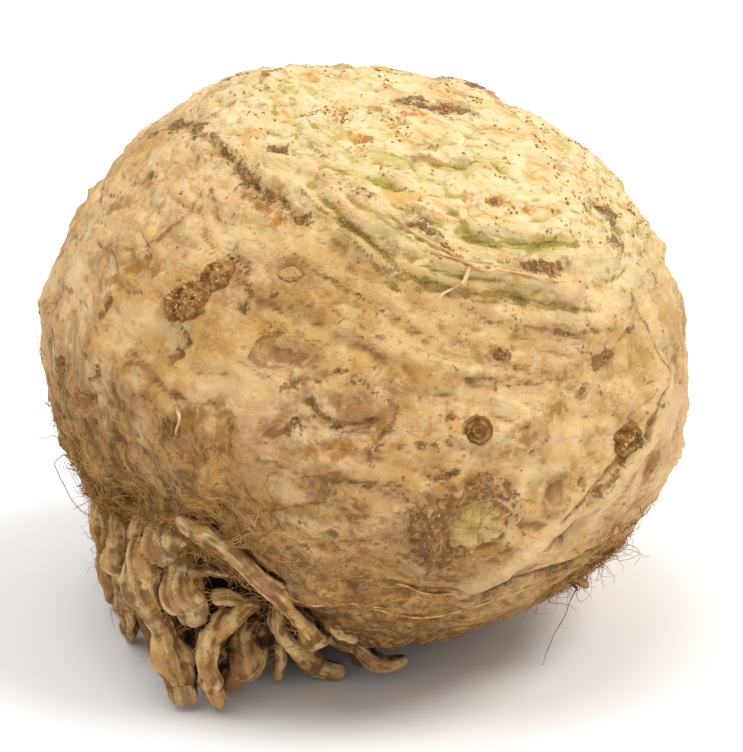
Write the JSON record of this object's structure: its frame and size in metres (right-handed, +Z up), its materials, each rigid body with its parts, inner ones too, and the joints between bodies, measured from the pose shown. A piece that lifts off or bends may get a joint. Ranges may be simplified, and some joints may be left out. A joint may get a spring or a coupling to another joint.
{
  "type": "celeriac root",
  "caption": "Whole unpeeled celeriac: a lumpy round bulb standing on a small flat spot, crown leaning to one side, with a tangle of trimmed side roots at its lower edge.",
  "frame": {"origin": "on the surface the celeriac stands on, under the middle of the whole root's bounding box", "axes": "+Z up; the front, with the side roots at its lower left, faces -Y; the crown leans towards +X, which is also the widest direction"},
  "size_m": [0.129, 0.1252, 0.1152],
  "materials": {
    "bulb_skin": "matte cream-tan skin with cork scars, rust flecks and green-yellow furrows",
    "root_skin": "matte tan-brown root skin with dark creases",
    "cork": "rough brown cork of old root scars",
    "root_hair": "dry brown root hairs"
  },
  "bodies": {
    "root": {"bulb": "bulb_skin", "root_left_back": "root_skin", "root_left": "root_skin", "root_front_tall": "root_skin", "root_behind_tall": "root_skin", "root_wedge": "root_skin", "root_wrinkled": "root_skin", "root_blunt": "root_skin", "root_cross": "root_skin", "root_cross_upper": "root_skin", "root_long": "root_skin", "root_low": "root_skin", "root_short": "root_skin", "root_tucked": "root_skin", "root_thin": "root_skin", "root_back_left_a": "root_skin", "root_back_left_b": "root_skin", "root_back_left_c": "root_skin", "root_back": "root_skin", "root_under_left": "root_skin", "root_under_middle": "root_skin", "root_inner": "root_skin", "root_under_front": "root_skin", "root_under_back": "root_skin", "rootlet_right": "root_skin", "rootlet_right_back": "root_skin", "rootlet_back": "root_skin"}
  },
  "joints": []
}
